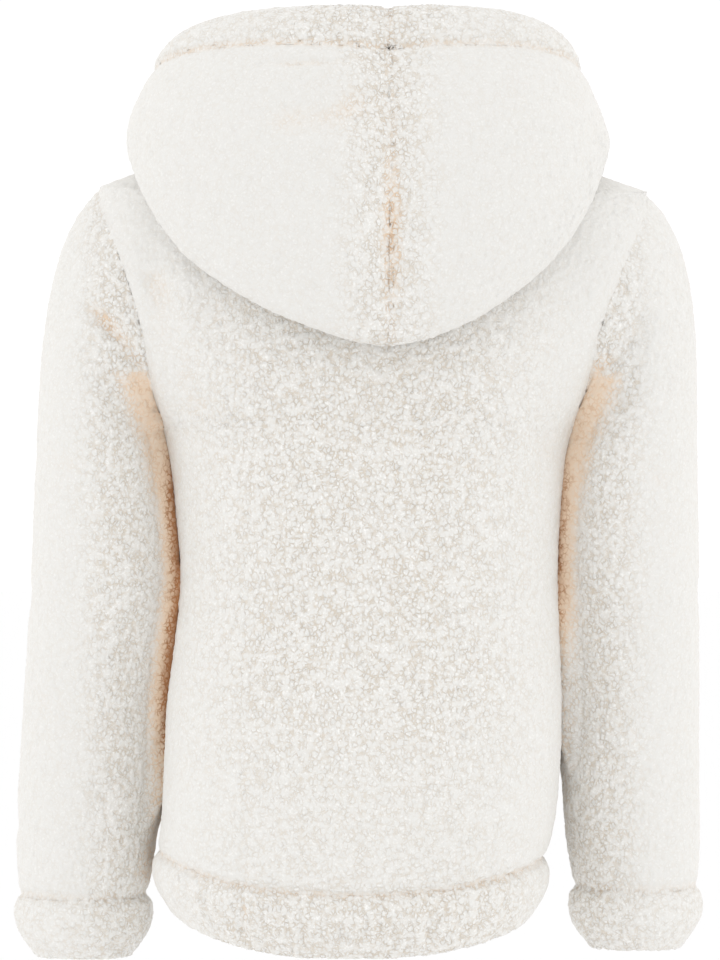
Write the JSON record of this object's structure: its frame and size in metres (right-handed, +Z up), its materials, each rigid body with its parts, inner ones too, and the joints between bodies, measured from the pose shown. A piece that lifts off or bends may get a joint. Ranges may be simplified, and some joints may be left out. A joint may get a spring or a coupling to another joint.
{
  "type": "hooded fleece jacket",
  "caption": "Sherpa fleece jacket with the hood lying down at the back, a gathered hem band, elasticated cuffs and a zip up the front, filled out as if worn.",
  "frame": {"origin": "middle of the neck, level with the high points of the shoulders", "axes": "+Z up, -Y the way the wearer faces, +X to the wearer's left"},
  "size_m": [0.56, 0.3033, 0.7529],
  "materials": {
    "sherpa": "curled cream pile",
    "zip_tape": "woven tape",
    "zip_metal": "nickel plated"
  },
  "bodies": {
    "jacket": {"back": "sherpa", "front_left": "sherpa", "front_right": "sherpa", "sleeve_left": "sherpa", "sleeve_right": "sherpa", "cuff_left": "sherpa", "cuff_right": "sherpa", "hem_band": "sherpa", "hood_left": "sherpa", "hood_right": "sherpa", "hood_hem_left": "sherpa", "hood_hem_right": "sherpa", "zip_tape_left": "zip_tape", "zip_tape_right": "zip_tape", "zip_slider": "zip_metal", "zip_box": "zip_metal"},
    "pull_tab": {"zip_pull": "zip_metal"}
  },
  "joints": [
    {"name": "zip_pull_hinge", "type": "hinge", "parent": "jacket", "child": "pull_tab", "pos_m": [-0.009, -0.08756, -0.10205], "axis": [-1, 0, 0], "range_deg": [0, 160]}
  ]
}
